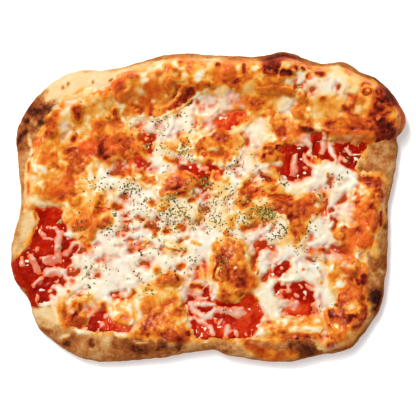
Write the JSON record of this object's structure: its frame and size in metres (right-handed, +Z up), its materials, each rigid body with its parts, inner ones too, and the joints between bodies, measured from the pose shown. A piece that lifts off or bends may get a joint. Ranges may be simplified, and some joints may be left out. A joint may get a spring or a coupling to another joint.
{
  "type": "rectangular margherita pizza",
  "caption": "Small rounded-rectangular baked pizza with a puffed blistered crust, tomato sauce, melted browned mozzarella and dried herbs.",
  "frame": {"origin": "centre of the bounding box in plan, on the flat underside", "axes": "+X along the pizza's longer side, +Y along its shorter side towards the tall puffed edge, +Z up"},
  "size_m": [0.2374, 0.1859, 0.0252],
  "materials": {
    "baked_dough": "baked, matt, browned in places and dusted with flour",
    "tomato_sauce": "wet and glossy",
    "white_cheese": "melted, softly glossy",
    "browned_cheese": "melted and browned, oily sheen"
  },
  "bodies": {
    "root": {"browned_blister_middle": "browned_cheese", "browned_bubble_centre": "browned_cheese", "browned_cheese_bottom": "browned_cheese", "browned_cheese_bottom_right": "browned_cheese", "browned_cheese_left": "browned_cheese", "browned_cheese_lower_left": "browned_cheese", "browned_cheese_lower_right": "browned_cheese", "browned_cheese_middle": "browned_cheese", "browned_cheese_right": "browned_cheese", "browned_cheese_top": "browned_cheese", "browned_cheese_top_middle": "browned_cheese", "browned_cheese_top_right": "browned_cheese", "browned_cheese_upper_left": "browned_cheese", "browned_drip_corner": "browned_cheese", "browned_fold_middle": "browned_cheese", "cheese_arc_middle": "white_cheese", "cheese_curl_right": "white_cheese", "cheese_fold_left": "white_cheese", "cheese_loop_left": "white_cheese", "cheese_lump_left": "white_cheese", "cheese_shred_bottom_long": "white_cheese", "cheese_shred_bottom_short": "white_cheese", "cheese_shred_bottom_thin": "white_cheese", "cheese_shred_left_curved": "white_cheese", "cheese_shred_left_long": "white_cheese", "cheese_shred_left_small": "white_cheese", "cheese_shred_upper_right": "white_cheese", "crust": "baked_dough", "tomato_sauce": "tomato_sauce", "white_cheese_bottom_centre": "white_cheese", "white_cheese_centre": "white_cheese", "white_cheese_inner_right": "white_cheese", "white_cheese_left": "white_cheese", "white_cheese_lower_right": "white_cheese", "white_cheese_middle": "white_cheese", "white_cheese_middle_right": "white_cheese", "white_cheese_right": "white_cheese", "white_cheese_right_centre": "white_cheese", "white_cheese_top": "white_cheese", "white_cheese_upper_right": "white_cheese"}
  },
  "joints": []
}
